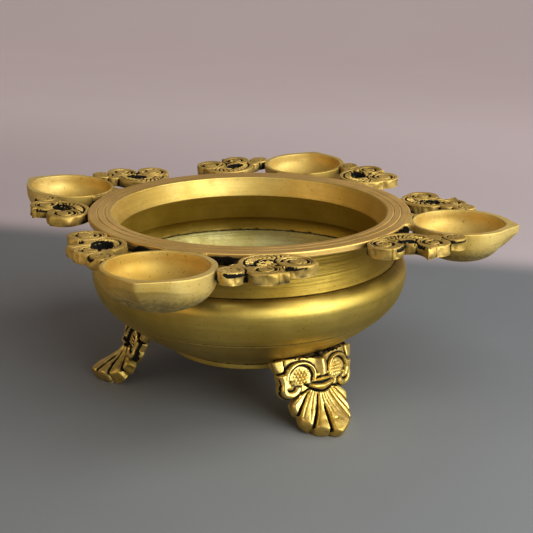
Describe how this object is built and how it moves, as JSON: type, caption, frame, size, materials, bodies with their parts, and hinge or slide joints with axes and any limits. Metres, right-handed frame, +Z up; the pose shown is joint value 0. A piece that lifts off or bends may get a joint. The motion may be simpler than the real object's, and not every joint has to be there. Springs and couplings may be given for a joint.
{
  "type": "brass urli bowl with diya cups",
  "caption": "Footed brass urli bowl with a flat rim, oil lamp cups on arms at its rim, scrolls beside each cup and shell feet, for floating flowers and lamps.",
  "frame": {"origin": "on the bowl's vertical axis, on the surface that the feet stand on", "axes": "+Z up; -Y towards the front cup, +X towards the right cup"},
  "size_m": [0.296, 0.2965, 0.1078],
  "materials": {
    "turned_brass": "satin, with fine turned lines, darker in the grooves",
    "rim_brass": "satin, brushed round the rim",
    "cup_brass": "filed outside, brushed and brighter inside",
    "cast_brass": "sand-cast, polished on the high parts, black patina in the recesses"
  },
  "bodies": {
    "root": {"rim_ring": "rim_brass", "neck_collar": "turned_brass", "belly_dish": "turned_brass", "foot_ring": "turned_brass", "diya_cup_front": "cup_brass", "diya_cup_right": "cup_brass", "diya_cup_back": "cup_brass", "diya_cup_left": "cup_brass", "scroll_front_left": "cast_brass", "scroll_front_right": "cast_brass", "scroll_right_left": "cast_brass", "scroll_right_right": "cast_brass", "scroll_back_left": "cast_brass", "scroll_back_right": "cast_brass", "scroll_left_left": "cast_brass", "scroll_left_right": "cast_brass", "foot_front_right": "cast_brass", "foot_front_left": "cast_brass", "foot_back": "cast_brass"}
  },
  "joints": []
}
